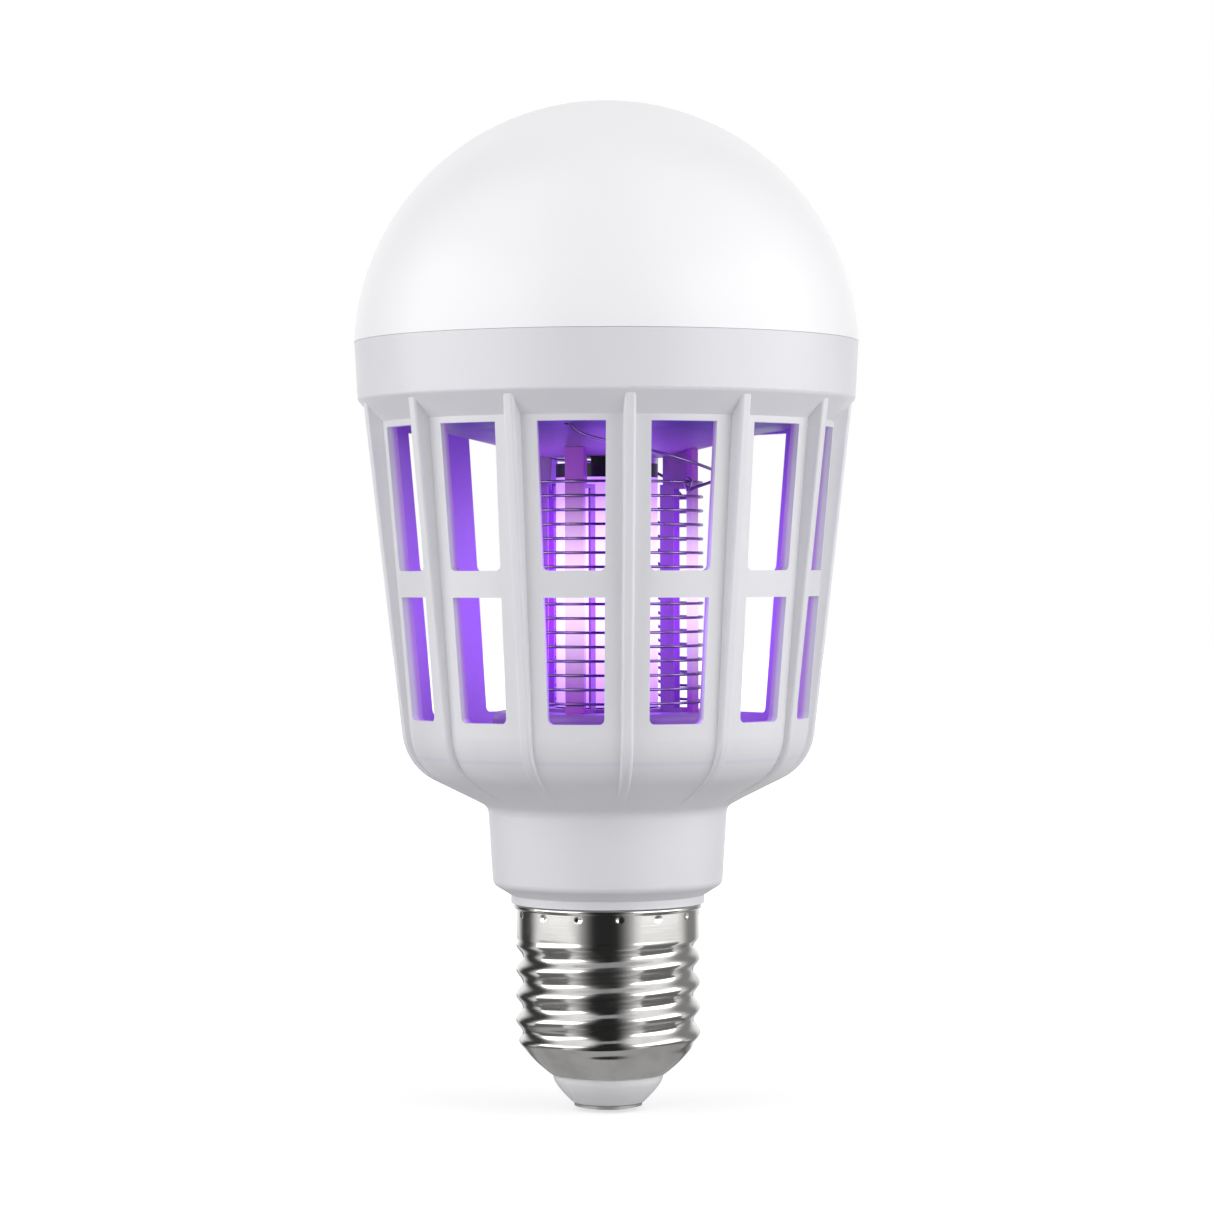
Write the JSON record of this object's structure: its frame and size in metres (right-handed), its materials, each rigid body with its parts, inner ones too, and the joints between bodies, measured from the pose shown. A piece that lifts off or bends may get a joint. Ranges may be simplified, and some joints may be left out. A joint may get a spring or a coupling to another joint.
{
  "type": "insect killer light bulb",
  "caption": "Screw-in lamp with a frosted dome over a ribbed, windowed cage that holds a wire grid round a glowing ultraviolet tube.",
  "frame": {"origin": "tip of the foot contact, on the lamp's axis", "axes": "+Z along the lamp's axis from cap to dome, -Y through the front rib"},
  "size_m": [0.0728, 0.0728, 0.1452],
  "materials": {
    "diffuser_dome": "frosted, fine satin",
    "cage_housing": "smooth satin moulding",
    "upper_deck": "smooth moulding, lit violet by the tube",
    "grid_base": "smooth moulding, lit violet by the tube",
    "grid_frame": "smooth moulding",
    "grid_wire_a": "bare drawn wire",
    "grid_wire_b": "bare drawn wire",
    "lead_wire_a": "bare drawn wire",
    "lead_wire_b": "bare drawn wire",
    "uv_tube": "clear violet, emissive",
    "tube_top_cap": "black moulding",
    "tube_bottom_cap": "black moulding",
    "cable_sleeve": "black sleeve",
    "uv_boards": "white solder mask",
    "uv_led_chips": "violet diode, emissive",
    "led_board": "white solder mask over aluminium",
    "led_chips": "phosphor, emissive",
    "led_board_screws": "zinc plated",
    "hv_board": "green solder mask",
    "hv_capacitors": "dipped disc",
    "hv_diodes": "moulded body",
    "driver_board": "green solder mask",
    "bulk_capacitor": "sleeved can",
    "driver_choke": "ferrite drum",
    "bridge_rectifier": "moulded block",
    "driver_resistors": "lacquered body",
    "shell_lead": "insulated wire",
    "contact_lead": "insulated wire",
    "screw_shell": "nickel plated, polished by the rolling",
    "cap_insulator": "white glassy insulator",
    "centre_contact": "tinned contact"
  },
  "bodies": {
    "root": {"diffuser_dome": "diffuser_dome", "cage_housing": "cage_housing", "upper_deck": "upper_deck", "grid_base": "grid_base", "grid_frame": "grid_frame", "grid_wire_a": "grid_wire_a", "grid_wire_b": "grid_wire_b", "lead_wire_a": "lead_wire_a", "lead_wire_b": "lead_wire_b", "uv_tube": "uv_tube", "tube_top_cap": "tube_top_cap", "tube_bottom_cap": "tube_bottom_cap", "cable_sleeve": "cable_sleeve", "uv_boards": "uv_boards", "uv_led_chips": "uv_led_chips", "led_board": "led_board", "led_chips": "led_chips", "led_board_screws": "led_board_screws", "hv_board": "hv_board", "hv_capacitors": "hv_capacitors", "hv_diodes": "hv_diodes", "driver_board": "driver_board", "bulk_capacitor": "bulk_capacitor", "driver_choke": "driver_choke", "bridge_rectifier": "bridge_rectifier", "driver_resistors": "driver_resistors", "shell_lead": "shell_lead", "contact_lead": "contact_lead", "screw_shell": "screw_shell", "cap_insulator": "cap_insulator", "centre_contact": "centre_contact"}
  },
  "joints": []
}
